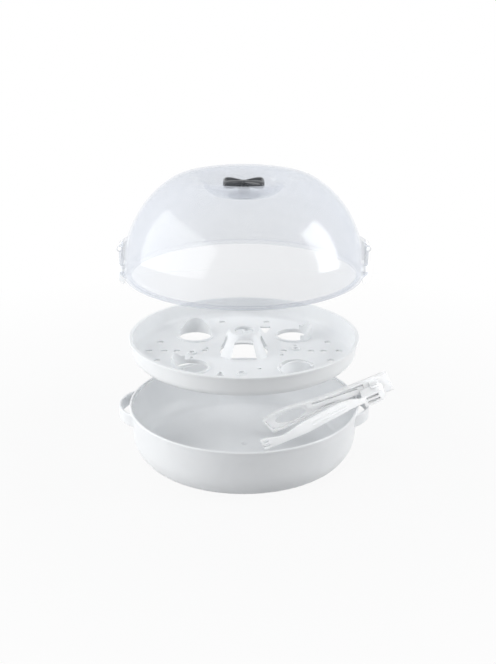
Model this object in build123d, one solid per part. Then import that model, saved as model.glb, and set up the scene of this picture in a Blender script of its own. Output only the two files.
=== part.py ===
from build123d import *
import math
import os

# Microwave bottle sterilizer, in millimetres and degrees, with Z up.
# The origin is the centre of the bowl's flat underside, and the tongs lean out over +X.
# The tray and the lid stand raised above the bowl, as they are lifted off to load it.

# Running clearances and broken edges
SLIP = 0.2
LOOSE = 0.4
EDGE_BREAK = 0.6

# Bowl
BOWL_RIM_RADIUS = 130.2
BOWL_HEIGHT = 58.0
BOWL_WALL = 2.6
BOWL_DRAFT = 2.0
BOWL_CORNER_REACH = 18.0
BOWL_CORNER_HEIGHT = 24.0
CORNER_SPLIT = 50.0
RIM_BEAD = 1.2
RIM_BEAD_HEIGHT = 2.8
RIM_ROUNDING = 1.1
RIM_TOP_WIDTH = 2.3
REBATE_DEPTH = 2.6
BASE_PAD_RADIUS = 30.0
BASE_RECESS_DEPTH = 0.8
BASE_RING_WIDTH = 12.0

# Bowl ears
EAR_HALF_LENGTH = 36.0
EAR_REACH = 12.6
EAR_WALL = 3.0
EAR_HEIGHT = 14.0
EAR_DROP = 2.5
EAR_ROUNDING = 0.9

# Steam tray
TRAY_DEPTH = 24.0
TRAY_WALL = 2.0
TRAY_FLOOR = 2.2
TRAY_DRAFT = 1.2
TRAY_CORNER_REACH = 10.0
TRAY_CORNER_HEIGHT = 9.0
TRAY_LIFT = 81.7

# Crown in the middle of the tray
CROWN_HOLE_RADIUS = 27.5
CROWN_WALL = 2.4
CROWN_HEIGHT = 26.0
CROWN_TOP_RADIUS = 17.5
CROWN_TOP_HOLE_RADIUS = 10.5
CROWN_CHAMFER = 1.5
CROWN_ARCH_BASE = 29.0
CROWN_ARCH_TOP = 18.0
CROWN_ARCH_HEIGHT = 20.5
CROWN_ARCH_ROUNDING = 4.5

# Bottle seats in the tray
SEAT_CENTRE_X = 57.0
SEAT_CENTRE_Y = 48.0
SEAT_HOLE_RADIUS = 19.0
SEAT_LIP = 1.8
SEAT_LIP_HEIGHT = 2.2
FIN_THICKNESS = 2.2
FIN_WIDTH = 35.0
FIN_HEIGHT = 17.0

# Wedge openings, ring bosses and steam holes in the tray
WEDGE_APEX = (25.0, 54.0)
WEDGE_LENGTH = 27.0
WEDGE_WIDTH = 14.0
WEDGE_ROUNDING = 1.5
BOSS_CENTRES = ((-2.5, -64.0), (-58.0, -6.0))
BOSS_RADIUS = 5.2
BOSS_BORE_RADIUS = 2.8
BOSS_HEIGHT = 2.0
STEAM_HOLE_RADIUS = 3.8
STEAM_HOLES_IN_LINE = ((106.5, 1.5), (89.5, 1.5), (75.5, 1.5), (44.5, 2.0))
STEAM_HOLES_AROUND = ((96.0, 29.0), (95.5, -26.0), (27.0, 97.0))
SMALL_HOLE_RADIUS = 2.2
SMALL_HOLES_TURNED = ((58.0, 19.0), (42.0, -10.0), (17.0, -50.0))

# Dome lid
LID_SETBACK = 0.8
LID_TAPER = 2.3
LID_WALL = 2.0
LID_STEP = 0.7
LID_STEP_HEIGHT = 9.4
LID_CREASE_HEIGHT = 28.5
LID_HEIGHT = 105.0
LID_SHELF = 1.6
LID_SKIRT_DEPTH = 3.0
LID_SKIRT_WALL = 1.4
DOME_LEAN = 10.5
DOME_SPLIT = 147.0
DISH_RIM_RADIUS = 58.0
DISH_FLOOR_RADIUS = 26.0
DISH_DEPTH = 18.0
DISH_RIM_ROUNDING = 20.5
FLANGE_BEYOND_CLIP = 1.0
LID_LIFT = 153.7

# Vent knob, its stem and the shutter below the dish
KNOB_SETBACK = 4.0
KNOB_END_WIDTH = 30.0
KNOB_ROUNDING = 3.0
KNOB_WAIST = 9.0
KNOB_WING_THICKNESS = 9.0
KNOB_WING_CLEARANCE = 5.0
KNOB_HUB_RADIUS = 7.0
KNOB_POCKET_DEPTH = 5.5
KNOB_WALL = 2.6
STEM_RADIUS = 4.0
STEM_SPIGOT_RADIUS = 3.0
STEM_HEAD_RADIUS = 4.4
STEM_HEAD_THICKNESS = 1.8
SHUTTER_OVERLAP = 2.5
SHUTTER_THICKNESS = 1.6
VENT_HOLE_RADIUS = 3.0
VENT_CIRCLE_RADIUS = 11.5

# Side clips
CLIP_WIDTH = 18.0
CLIP_ARM = 2.4
CLIP_GAP = 2.0
CLIP_PIVOT_HEIGHT = 28.0
CLIP_TOP_REACH = 4.0
CLIP_NOSE_SLOPE = 1.0
CLIP_FLARE_HEIGHT = 13.0
CLIP_LOBE_REACH = 4.2
CLIP_LOBE_TOP = 7.0
CLIP_LOBE_BOTTOM = 1.5
CLIP_TOE_DEPTH = 11.8
CLIP_TOE_THICKNESS = 1.7
TRUNNION_RADIUS = 2.0
TRUNNION_LENGTH = 2.4
TRUNNION_BOSS = 0.6
CHEEK_THICKNESS = 2.6
CHEEK_RADIUS = 3.4
CHEEK_FOOT_SETBACK = 1.0
CHEEK_FOOT_RISE = 3.0
CHEEK_ROOT_RISE = 10.2

# Tongs, in their own frame: U from the handle end to the tips, V to the front, W across the arms
TONGS_LENGTH = 160.0
TONGS_REST_U = 45.6
TIP_GAP = 3.2
REST_W = -2.3
REST_BEFORE = 7.6
REST_AFTER = 13.0
FRONT_ARM_LIFT = 1.8
BACK_ARM_LENGTH = 156.0
BACK_ARM_TOP_EDGE = ((0.0, 11.4), (0.27, 10.4), (0.6, 10.6), (0.79, 12.8), (1.0, 8.4))
BACK_ARM_LOOP_EDGE = ((0.965, -10.2), (0.8, -9.4))
BACK_ARM_HEEL_W = -11.4
BACK_ARM_HEEL_SLOPE = 7.0
BACK_ARM_PLATE = 2.2
BACK_ARM_RAIL = 4.6
BACK_ARM_RAIL_WIDTH = 2.4
BACK_ARM_HANDLE_V = -8.0
BACK_ARM_TIP_V = -28.0
BACK_ARM_BOW = 0.5
HANDLE_PAD_LENGTH = 30.0
LOOP_HOLE_PLACE = 0.79
LOOP_HOLE_W = 0.6
LOOP_HOLE_LENGTH = 39.0
LOOP_HOLE_WIDTH = 12.8
SPINE_PLACE = 0.42
SPINE_W = 4.0
SPINE_LENGTH = 70.0
SPINE_WIDTH = 8.0
SPINE_TURN = 3.0
GROOVE_W = 6.2
GROOVE_LENGTH = 56.0
GROOVE_WIDTH = 1.6
GROOVE_TURN = 2.0
FRONT_ARM_TOP_EDGE = (
    (0.225, 5.0), (0.31, 11.0), (0.525, 10.8), (0.71, 7.6), (0.86, 3.8), (0.94, 7.2), (1.0, 8.0)
)
FRONT_ARM_BOTTOM_EDGE = ((1.0, -5.4), (0.91, -5.0), (0.625, -4.6))
FRONT_ARM_THICKNESS = 2.4
FRONT_ARM_ROOT_V = 19.6
FRONT_ARM_TIP_V = 23.4
FRONT_ARM_BOW = 4.0
ROOT_LENGTH = 26.0
ROOT_WIDTH = 12.6
ROOT_CENTRE_W = -1.0
ROOT_END = 7.8
ROOT_ROUNDING = 5.3
ROOT_SLOT_LENGTH = 15.0
ROOT_SLOT_WIDTH = 2.8
ROOT_SLOT_PITCH = 5.0
ROOT_SLOT_DEPTH = 8.4
NECK_LENGTH = 8.0
NECK_OVERLAP = 3.2
NECK_TOP_W = 5.5
PIN_U = 17.0
PIN_V = 5.0
PIN_RADIUS = 2.2
PIN_HEAD_RADIUS = 3.4
PIN_HEAD = 1.0
HINGE_EAR = 2.6
HINGE_EAR_RADIUS = 5.4
PRONG_CENTRE_W = 1.3
PRONG_PITCH = 4.8
PRONG_GAP = 2.2
PRONG_LENGTH = 9.0
RIB_PLACE = 0.475
RIB_CENTRE_W = 2.4
RIB_LENGTH = 44.0
RIB_HEIGHT = 0.8
RIB_WIDTH = 1.4
RIB_PITCH = 3.4
RIB_TURN = -3.0

# Sizes worked out from the ones above
rim_bore_radius = BOWL_RIM_RADIUS - RIM_TOP_WIDTH
bead_z = BOWL_HEIGHT - RIM_BEAD_HEIGHT
rebate_z = BOWL_HEIGHT - REBATE_DEPTH
bowl_outer_top = BOWL_RIM_RADIUS - RIM_BEAD
bowl_inner_top = bowl_outer_top - BOWL_WALL
bowl_corner_radius = bowl_outer_top - BOWL_DRAFT
bowl_flat_radius = bowl_corner_radius - BOWL_CORNER_REACH
tray_lip_radius = rim_bore_radius - LOOSE
tray_outer_top = bowl_inner_top - 2 * LOOSE
tray_inner_top = tray_outer_top - TRAY_WALL
tray_corner_radius = tray_outer_top - TRAY_DRAFT
tray_flat_radius = tray_corner_radius - TRAY_CORNER_REACH
tray_floor_z = TRAY_FLOOR - TRAY_DEPTH
tray_foot_z = tray_floor_z - TRAY_FLOOR / 2
tray_seat_z = BOWL_HEIGHT - SLIP
lid_seat_z = BOWL_HEIGHT + SLIP
lid_radius = BOWL_RIM_RADIUS - LID_SETBACK
crease_radius = lid_radius - LID_TAPER
dish_floor_z = LID_HEIGHT - DISH_DEPTH
skirt_radius = tray_inner_top - LOOSE
knob_length = 2 * (DISH_FLOOR_RADIUS - KNOB_SETBACK)
shutter_radius = VENT_CIRCLE_RADIUS + VENT_HOLE_RADIUS + SHUTTER_OVERLAP
shutter_top_z = dish_floor_z - LID_WALL - SLIP
clip_inner_x = lid_radius + CLIP_GAP
clip_outer_x = clip_inner_x + CLIP_ARM
clip_pivot_x = clip_inner_x + CLIP_ARM / 2
hinge_low_w = ROOT_CENTRE_W - ROOT_WIDTH / 2 - SLIP - HINGE_EAR
front_arm_low_w = REST_W + FRONT_ARM_LIFT
hinge_width = ROOT_WIDTH + 2 * SLIP + 2 * HINGE_EAR
root_start_u = PIN_U - ROOT_END
root_end_u = root_start_u + ROOT_LENGTH


def lathe(*curves):
    """Solid of revolution about Z from a closed outline drawn in the XZ plane."""
    outline = Curve() + list(curves)
    return revolve(make_face(Plane.XZ * outline), Axis.Z)


def tube(outer, inner, bottom, top):
    """Upright ring between two heights."""
    ring = Circle(outer) - Circle(inner)
    return extrude(Pos(0, 0, bottom) * ring, top - bottom)


def disc(radius, bottom, top):
    """Upright cylinder between two heights."""
    return extrude(Pos(0, 0, bottom) * Circle(radius), top - bottom)


def mirrored_pair(shape):
    """The shape and its half-turn partner about Z."""
    return [shape, Rot(0, 0, 180) * shape]


def arc_travel(first, last):
    """Run and rise of an arc of radius 1 that turns left from one heading to another."""
    first, last = math.radians(first), math.radians(last)
    return math.sin(last) - math.sin(first), math.cos(first) - math.cos(last)


def two_turns(start, middle, end, reach, rise):
    """Two left-hand turns through three headings, with the radii that cover a reach and a rise."""
    run_a, rise_a = arc_travel(start, middle)
    run_b, rise_b = arc_travel(middle, end)
    scale = run_a * rise_b - run_b * rise_a
    radius_a = (reach * rise_b - run_b * rise) / scale
    radius_b = (run_a * rise - reach * rise_a) / scale
    return [(radius_a, middle - start), (radius_b, end - middle)]


def arc_chain(start, heading, turns):
    """Arcs in a row, each tangent to the last; a turn is a radius and an angle, positive to the left."""
    arcs = []
    x, z = start
    for radius, angle in turns:
        side = math.copysign(90, angle)
        to_centre = math.radians(heading + side)
        centre = (x + radius * math.cos(to_centre), z + radius * math.sin(to_centre))
        arcs.append(CenterArc(centre, radius, start_angle=heading - side, arc_size=angle))
        x, z = (arcs[-1] @ 1).X, (arcs[-1] @ 1).Y
        heading += angle
    return arcs


def vessel_corner(flat_radius, bottom, reach, rise, lean):
    """Two arcs from a flat floor up into a wall that leans outward."""
    turns = two_turns(0, CORNER_SPLIT, 90 - lean, reach, rise)
    return arc_chain((flat_radius, bottom), 0, turns)


# Bowl

def bowl_lean():
    return math.degrees(math.atan2(BOWL_DRAFT, bead_z - BOWL_CORNER_HEIGHT))


def bowl_interior():
    """Water space of the bowl, up to the tray's rebate and out through the rim."""
    reach = BOWL_CORNER_REACH - BOWL_WALL
    rise = BOWL_CORNER_HEIGHT - BOWL_WALL
    corner = vessel_corner(bowl_flat_radius, BOWL_WALL, reach, rise, bowl_lean())
    above = BOWL_HEIGHT + RIM_BEAD
    wall = Polyline(
        corner[-1] @ 1,
        (bowl_inner_top, rebate_z),
        (rim_bore_radius, rebate_z),
        (rim_bore_radius, above),
        (0, above),
        (0, BOWL_WALL),
        corner[0] @ 0,
    )
    return lathe(*corner, wall)


def bowl_body():
    """Outside of the bowl with its rim bead, before it is hollowed."""
    corner = vessel_corner(bowl_flat_radius, 0, BOWL_CORNER_REACH, BOWL_CORNER_HEIGHT, bowl_lean())
    wall = Polyline(
        corner[-1] @ 1,
        (bowl_outer_top, bead_z),
        (BOWL_RIM_RADIUS, bead_z),
        (BOWL_RIM_RADIUS, BOWL_HEIGHT - RIM_ROUNDING),
        (BOWL_RIM_RADIUS - RIM_ROUNDING, BOWL_HEIGHT),
        (0, BOWL_HEIGHT),
        (0, 0),
        corner[0] @ 0,
    )
    recess = tube(bowl_flat_radius - BASE_RING_WIDTH, BASE_PAD_RADIUS, 0, BASE_RECESS_DEPTH)
    return lathe(*corner, wall) - recess


def ear_circle():
    """Centre and radius of the ear's outer arc, from its length and its reach."""
    wall_x = math.sqrt(BOWL_RIM_RADIUS**2 - EAR_HALF_LENGTH**2)
    rise = BOWL_RIM_RADIUS + EAR_REACH - wall_x
    radius = (EAR_HALF_LENGTH**2 + rise**2) / (2 * rise)
    return BOWL_RIM_RADIUS + EAR_REACH - radius, radius


def bowl_ear():
    """Open loop on the +X side, which a clip hooks through and a hand lifts."""
    centre_x, radius = ear_circle()
    top = BOWL_HEIGHT - EAR_DROP
    loop = tube(radius, radius - EAR_WALL, top - EAR_HEIGHT, top)
    loop = fillet(loop.edges().filter_by(GeomType.CIRCLE), EAR_ROUNDING)
    outside = Box(2 * EAR_HALF_LENGTH, 3 * EAR_HALF_LENGTH, BOWL_HEIGHT)
    return Pos(centre_x, 0, 0) * loop & Pos(BOWL_RIM_RADIUS, 0, BOWL_HEIGHT / 2) * outside


def base_bowl():
    return bowl_body() + mirrored_pair(bowl_ear()) - bowl_interior()


# Steam tray, drawn with its rim at height 0

def tray_shell():
    """Hanging lip, drafted wall, rounded corner and flat floor."""
    lean = math.degrees(math.atan2(TRAY_DRAFT, TRAY_DEPTH - TRAY_CORNER_HEIGHT))
    outer = vessel_corner(tray_flat_radius, -TRAY_DEPTH, TRAY_CORNER_REACH, TRAY_CORNER_HEIGHT, lean)
    inner = vessel_corner(
        tray_flat_radius, tray_floor_z, TRAY_CORNER_REACH - TRAY_WALL, TRAY_CORNER_HEIGHT - TRAY_FLOOR, lean
    )
    lip_bottom = 2 * SLIP - REBATE_DEPTH
    wall = Polyline(
        outer[-1] @ 1,
        (tray_outer_top, lip_bottom),
        (tray_lip_radius, lip_bottom),
        (tray_lip_radius, -EDGE_BREAK),
        (tray_lip_radius - EDGE_BREAK, 0),
        (tray_inner_top, 0),
        inner[-1] @ 1,
    )
    floor = Polyline(inner[0] @ 0, (0, tray_floor_z), (0, -TRAY_DEPTH), outer[0] @ 0)
    return lathe(*outer, wall, *inner, floor)


def crown():
    """Truncated cone on four legs, with an arched opening on each side and a ring at the top."""
    foot_radius = CROWN_HOLE_RADIUS + CROWN_WALL
    top_z = tray_floor_z + CROWN_HEIGHT
    cone = lathe(
        Polyline(
            (CROWN_HOLE_RADIUS, tray_foot_z),
            (foot_radius, tray_foot_z),
            (foot_radius, tray_floor_z),
            (CROWN_TOP_RADIUS, top_z - CROWN_CHAMFER),
            (CROWN_TOP_RADIUS - CROWN_CHAMFER, top_z),
            (CROWN_TOP_HOLE_RADIUS, top_z),
            (CROWN_TOP_HOLE_RADIUS, top_z - CROWN_WALL),
            (CROWN_TOP_RADIUS - CROWN_WALL, top_z - CROWN_WALL),
            close=True,
        )
    )
    arch_top_z = tray_floor_z + CROWN_ARCH_HEIGHT
    arch = make_face(
        Polyline(
            (-CROWN_ARCH_BASE / 2, tray_floor_z),
            (CROWN_ARCH_BASE / 2, tray_floor_z),
            (CROWN_ARCH_TOP / 2, arch_top_z),
            (-CROWN_ARCH_TOP / 2, arch_top_z),
            close=True,
        )
    )
    arch = fillet(arch.vertices().group_by(Axis.Y)[-1], CROWN_ARCH_ROUNDING)
    opening = extrude(Plane.XZ * arch, 2 * CROWN_HOLE_RADIUS, both=True)
    return cone - opening - Rot(0, 0, 90) * opening


def seat_fin():
    """Curved fin on the seat's edge that leans a bottle up, rising on the +Y side."""
    outer = SEAT_HOLE_RADIUS + FIN_THICKNESS
    foot = Rectangle(FIN_WIDTH, FIN_HEIGHT / 2, align=(Align.CENTER, Align.MIN))
    above = Rectangle(2 * FIN_WIDTH, 2 * FIN_HEIGHT, align=(Align.CENTER, Align.MIN))
    arch = (foot + Ellipse(FIN_WIDTH / 2, FIN_HEIGHT)) & above
    curtain = Pos(0, 0, tray_foot_z) * extrude(Plane.XZ * arch, -outer)
    ring = tube(outer, SEAT_HOLE_RADIUS, tray_foot_z, tray_foot_z + 2 * FIN_HEIGHT)
    return ring & curtain


def seat_lip():
    """Raised lip round a bottle seat's hole."""
    return tube(SEAT_HOLE_RADIUS + SEAT_LIP, SEAT_HOLE_RADIUS, tray_foot_z, tray_floor_z + SEAT_LIP_HEIGHT)


def seat_places():
    """Centre of each bottle seat and the turn of its fin, a quarter turn on from seat to seat."""
    return [
        (-SEAT_CENTRE_X, SEAT_CENTRE_Y, 0),
        (SEAT_CENTRE_X, SEAT_CENTRE_Y, -90),
        (SEAT_CENTRE_X, -SEAT_CENTRE_Y, 180),
        (-SEAT_CENTRE_X, -SEAT_CENTRE_Y, 90),
    ]


def ring_boss(x, y):
    """Low ring that keeps a small cap or a teat's foot in its place."""
    return Pos(x, y, 0) * tube(BOSS_RADIUS, BOSS_BORE_RADIUS, tray_foot_z, tray_floor_z + BOSS_HEIGHT)


def floor_cut(sketch):
    """A sketch cut through the tray's floor and nothing above it."""
    return extrude(Pos(0, 0, tray_foot_z - TRAY_FLOOR) * sketch, 2 * TRAY_FLOOR)


def wedge_opening():
    """Long triangular steam opening between two bottle seats."""
    x, y = WEDGE_APEX
    corners = ((x, y), (x + WEDGE_WIDTH / 2, y + WEDGE_LENGTH), (x - WEDGE_WIDTH / 2, y + WEDGE_LENGTH))
    outline = make_face(Polyline(*corners, close=True))
    return floor_cut(fillet(outline.vertices(), WEDGE_ROUNDING))


def floor_hole(x, y, radius):
    return floor_cut(Pos(x, y) * Circle(radius))


def tray_holes():
    """Seat holes, the crown's hole, the wedges and the steam holes."""
    holes = [floor_hole(0, 0, CROWN_HOLE_RADIUS)]
    for x, y, _ in seat_places():
        holes.append(floor_hole(x, y, SEAT_HOLE_RADIUS))
    for x, y in STEAM_HOLES_IN_LINE + STEAM_HOLES_AROUND:
        holes.append(floor_hole(x, y, STEAM_HOLE_RADIUS))
        holes.append(floor_hole(-x, y, STEAM_HOLE_RADIUS))
    for x, y in SMALL_HOLES_TURNED:
        holes += mirrored_pair(floor_hole(x, y, SMALL_HOLE_RADIUS))
    for x, y in BOSS_CENTRES:
        holes += mirrored_pair(floor_hole(x, y, BOSS_BORE_RADIUS))
    return holes + mirrored_pair(wedge_opening())


def steam_tray():
    tray = tray_shell() - tray_holes()
    fixtures = [crown()]
    for x, y, turn in seat_places():
        fixtures.append(Pos(x, y, 0) * seat_lip())
        fixtures.append(Pos(x, y, 0) * Rot(0, 0, turn) * seat_fin())
    for x, y in BOSS_CENTRES:
        fixtures += mirrored_pair(ring_boss(x, y))
    return Pos(0, 0, tray_seat_z + TRAY_LIFT) * (tray + fixtures)


# Dome lid, drawn with its bottom shelf at height 0

def dome_arcs(inset=0.0):
    """Shoulder, crown and dish as one chain of four arcs, moved inward by the inset."""
    heading = 90 + DOME_LEAN
    shoulder = two_turns(
        heading, DOME_SPLIT, 180, DISH_RIM_RADIUS - crease_radius, LID_HEIGHT - LID_CREASE_HEIGHT
    )
    dish_reach = DISH_RIM_RADIUS - DISH_FLOOR_RADIUS
    swing = 2 * math.degrees(math.atan2(DISH_DEPTH, dish_reach))
    both_radii = dish_reach / math.sin(math.radians(swing))
    dish = [(DISH_RIM_ROUNDING, swing), (both_radii - DISH_RIM_ROUNDING, -swing)]
    turns = [(radius - math.copysign(inset, angle), angle) for radius, angle in shoulder + dish]
    lean = math.radians(DOME_LEAN)
    start = (crease_radius - inset * math.cos(lean), LID_CREASE_HEIGHT - inset * math.sin(lean))
    return arc_chain(start, heading, turns)


def lid_shell():
    """Skirted wall, dome, rolled crown and dish in one thin moulding."""
    outer = dome_arcs()
    inner = dome_arcs(LID_WALL)
    skirt_inner = skirt_radius - LID_SKIRT_WALL
    wall_out = Polyline(
        (lid_radius, 0),
        (lid_radius, LID_STEP_HEIGHT - LID_STEP),
        (lid_radius - LID_STEP, LID_STEP_HEIGHT),
        outer[0] @ 0,
    )
    wall_in = Polyline(
        inner[0] @ 0,
        (lid_radius - LID_WALL, LID_SHELF),
        (skirt_inner, LID_SHELF),
        (skirt_inner, -LID_SKIRT_DEPTH),
        (skirt_radius, -LID_SKIRT_DEPTH),
        (skirt_radius, 0),
        (lid_radius, 0),
    )
    dish_floor = Polyline(outer[-1] @ 1, (0, dish_floor_z), (0, dish_floor_z - LID_WALL), inner[-1] @ 1)
    return lathe(*outer, dish_floor, *inner, wall_in, wall_out)


def lid_interior():
    """Everything under the dome's outer surface, for trimming what stands on the wall."""
    shoulder = dome_arcs()[:2]
    wall = Polyline(
        shoulder[-1] @ 1,
        (0, LID_HEIGHT),
        (0, -LID_SHELF),
        (lid_radius - LID_WALL, -LID_SHELF),
        (lid_radius - LID_WALL, LID_STEP_HEIGHT),
        (crease_radius - LID_WALL, LID_CREASE_HEIGHT),
        shoulder[0] @ 0,
    )
    return lathe(*shoulder, wall)


def clip_cheeks():
    """Pair of bored cheeks on the +X side that carry a clip's trunnions."""
    root_x = crease_radius - 2 * LID_WALL
    face_x = clip_outer_x - SLIP
    web = Polyline(
        (root_x, LID_STEP_HEIGHT),
        (face_x - CHEEK_FOOT_SETBACK, LID_STEP_HEIGHT),
        (face_x, LID_STEP_HEIGHT + CHEEK_FOOT_RISE),
        (face_x, CLIP_PIVOT_HEIGHT + CHEEK_RADIUS),
        (root_x, CLIP_PIVOT_HEIGHT + CHEEK_ROOT_RISE),
        close=True,
    )
    pivot = Pos(clip_pivot_x, CLIP_PIVOT_HEIGHT)
    profile = make_face(web) + pivot * Circle(CHEEK_RADIUS) - pivot * Circle(TRUNNION_RADIUS + SLIP)
    cheek = extrude(Plane.XZ * profile, CHEEK_THICKNESS)
    inner_y = CLIP_WIDTH / 2 + LOOSE
    pair = Pos(0, -inner_y, 0) * cheek + Pos(0, inner_y + CHEEK_THICKNESS, 0) * cheek
    return pair - lid_interior()


def side_flange():
    """Crescent ledge over the bowl's ear, notched where the clip's arm hangs through."""
    centre_x, radius = ear_circle()
    edge_x = clip_outer_x + FLANGE_BEYOND_CLIP
    ledge = Pos(edge_x - radius, 0, 0) * disc(radius, 0, LID_SHELF)
    notch = Box(3 * CLIP_ARM + CLIP_GAP, CLIP_WIDTH + 3 * LOOSE, 4 * LID_SHELF)
    inside = Cylinder(lid_radius - LID_WALL / 2, 4 * LID_SHELF)
    return ledge - inside - Pos(clip_inner_x, 0, 0) * notch


def vent_holes(height):
    """Two vents opposite each other on the shutter's circle."""
    hole = Pos(0, VENT_CIRCLE_RADIUS, height) * Cylinder(VENT_HOLE_RADIUS, 4 * LID_WALL)
    return mirrored_pair(hole)


def lid_dome():
    lid = lid_shell() + mirrored_pair(clip_cheeks()) + mirrored_pair(side_flange())
    lid = lid - Pos(0, 0, dish_floor_z) * Cylinder(STEM_RADIUS + SLIP, 4 * LID_WALL)
    return Pos(0, 0, lid_seat_z + LID_LIFT) * (lid - vent_holes(dish_floor_z))


# Vent knob and shutter

def knob_outline():
    """Two rounded wings that meet in a narrow waist."""
    half = knob_length / 2
    wide = KNOB_END_WIDTH / 2
    waist = KNOB_WAIST / 2
    wing = make_face(Polyline((0, -waist), (half, -wide), (half, wide), (0, waist), close=True))
    wing = fillet(wing.vertices().group_by(Axis.X)[-1], KNOB_ROUNDING)
    return wing + Rot(0, 0, 180) * wing + Circle(KNOB_HUB_RADIUS)


def vent_knob():
    """Winged knob with a pocket in each wing, its hub, stem and snap head."""
    floor_z = dish_floor_z + SLIP
    wing_z = floor_z + KNOB_WING_CLEARANCE
    crest_z = wing_z + KNOB_WING_THICKNESS
    wings = Pos(0, 0, wing_z) * extrude(knob_outline(), KNOB_WING_THICKNESS)
    pocket = offset(knob_outline(), -KNOB_WALL, kind=Kind.INTERSECTION)
    pocket = pocket - Rectangle(2 * KNOB_HUB_RADIUS - KNOB_WALL, KNOB_END_WIDTH)
    pockets = Pos(0, 0, crest_z - KNOB_POCKET_DEPTH) * extrude(pocket, 2 * KNOB_POCKET_DEPTH)
    shutter_z = shutter_top_z - SHUTTER_THICKNESS
    hub = disc(KNOB_HUB_RADIUS, floor_z, wing_z)
    stem = disc(STEM_RADIUS, shutter_top_z, floor_z)
    spigot = disc(STEM_SPIGOT_RADIUS, shutter_z, shutter_top_z)
    head = disc(STEM_HEAD_RADIUS, shutter_z - STEM_HEAD_THICKNESS, shutter_z)
    return Pos(0, 0, lid_seat_z + LID_LIFT) * (wings - pockets + hub + stem + spigot + head)


def vent_shutter():
    """Disc that turns with the knob and opens or covers the two vents."""
    bore_radius = STEM_SPIGOT_RADIUS + SLIP / 2
    plate = tube(shutter_radius, bore_radius, shutter_top_z - SHUTTER_THICKNESS, shutter_top_z)
    return Pos(0, 0, lid_seat_z + LID_LIFT) * (plate - vent_holes(shutter_top_z))


# Side clips, drawn on the +X side with the lid's shelf at height 0

def clip_profile():
    """Side view of the lever: rounded top, arm, round finger lobe and hooked toe."""
    hook_z = -RIM_BEAD_HEIGHT - 2 * SLIP
    nose_x = bowl_outer_top + SLIP
    lobe_x = clip_outer_x + CLIP_LOBE_REACH
    round_z = CLIP_PIVOT_HEIGHT + CLIP_TOP_REACH - CLIP_ARM / 2
    drop = CLIP_FLARE_HEIGHT - CLIP_LOBE_TOP
    swing = 2 * math.degrees(math.atan2(CLIP_LOBE_REACH, drop))
    bend = drop / (2 * math.sin(math.radians(swing)))
    flare = arc_chain((clip_outer_x, CLIP_FLARE_HEIGHT), -90, [(bend, swing), (bend, -swing)])
    lobe = Line((lobe_x, CLIP_LOBE_TOP), (lobe_x, CLIP_LOBE_BOTTOM))
    belly = TangentArc(lobe @ 1, (nose_x + CLIP_TOE_THICKNESS, -CLIP_TOE_DEPTH), tangent=(0, -1))
    back = Polyline(
        belly @ 1,
        (nose_x, -CLIP_TOE_DEPTH),
        (nose_x, hook_z),
        (BOWL_RIM_RADIUS + SLIP, hook_z),
        (clip_inner_x, hook_z + CLIP_NOSE_SLOPE),
        (clip_inner_x, round_z),
    )
    crest = ThreePointArc(back @ 1, (clip_pivot_x, round_z + CLIP_ARM / 2), (clip_outer_x, round_z))
    arm = Line(crest @ 1, (clip_outer_x, CLIP_FLARE_HEIGHT))
    return make_face(Curve() + [back, crest, arm, *flare, lobe, belly])


def side_clip():
    blade = extrude(Plane.XZ * clip_profile(), CLIP_WIDTH / 2, both=True)
    across = Pos(clip_pivot_x, 0, CLIP_PIVOT_HEIGHT) * Rot(90, 0, 0)
    axle = across * Cylinder(TRUNNION_RADIUS, CLIP_WIDTH + 2 * TRUNNION_LENGTH)
    boss = across * Cylinder(TRUNNION_RADIUS + TRUNNION_BOSS, CLIP_WIDTH)
    return Pos(0, 0, lid_seat_z + LID_LIFT) * (blade + boss + axle)


# Tongs

def tongs_plane():
    """Frame of the tongs, which rest on the bowl's rim with their tips just over its floor."""
    tip_w = FRONT_ARM_BOTTOM_EDGE[0][1]
    beyond_rim = TONGS_LENGTH - TONGS_REST_U
    droop = REST_W - tip_w
    fall = BOWL_HEIGHT - BOWL_WALL - TIP_GAP
    tilt = math.asin(fall / math.hypot(beyond_rim, droop)) - math.atan2(droop, beyond_rim)
    cosine, sine = math.cos(tilt), math.sin(tilt)
    rim_x = math.sqrt(rim_bore_radius**2 - (FRONT_ARM_ROOT_V + FRONT_ARM_BOW) ** 2)
    return Plane(
        origin=(
            rim_x + TONGS_REST_U * cosine + REST_W * sine,
            0,
            BOWL_HEIGHT + TONGS_REST_U * sine - REST_W * cosine,
        ),
        x_dir=(-cosine, 0, -sine),
        z_dir=(-sine, 0, cosine),
    )


def upright_cut(sketch):
    """A side view in U and W, drawn through the whole depth of the tongs."""
    return extrude(Plane.XZ * sketch, TONGS_LENGTH, both=True)


def bowed_strip(start_v, end_v, bow, low, high):
    """A band of the tongs in U and V between two offsets from its bowed centre line."""
    beyond = EDGE_BREAK
    middle_u = TONGS_LENGTH / 2
    middle_v = (start_v + end_v) / 2 + bow
    end_u = TONGS_LENGTH + beyond
    inner = ThreePointArc((-beyond, start_v + low), (middle_u, middle_v + low), (end_u, end_v + low))
    outer = ThreePointArc((end_u, end_v + high), (middle_u, middle_v + high), (-beyond, start_v + high))
    joins = [Line(inner @ 1, outer @ 0), Line(outer @ 1, inner @ 0)]
    return extrude(make_face(Curve() + [inner, outer] + joins), TONGS_LENGTH, both=True)


def edge_stations(edge, length):
    """Points of an edge, given as shares of an arm's length with a height above its centre line."""
    return [(place * length, w) for place, w in edge]


def back_arm_strip(low, high):
    return bowed_strip(BACK_ARM_HANDLE_V, BACK_ARM_TIP_V, BACK_ARM_BOW, low, high)


def front_arm_strip(low, high):
    return bowed_strip(FRONT_ARM_ROOT_V, FRONT_ARM_TIP_V, FRONT_ARM_BOW, low, high)


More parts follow.
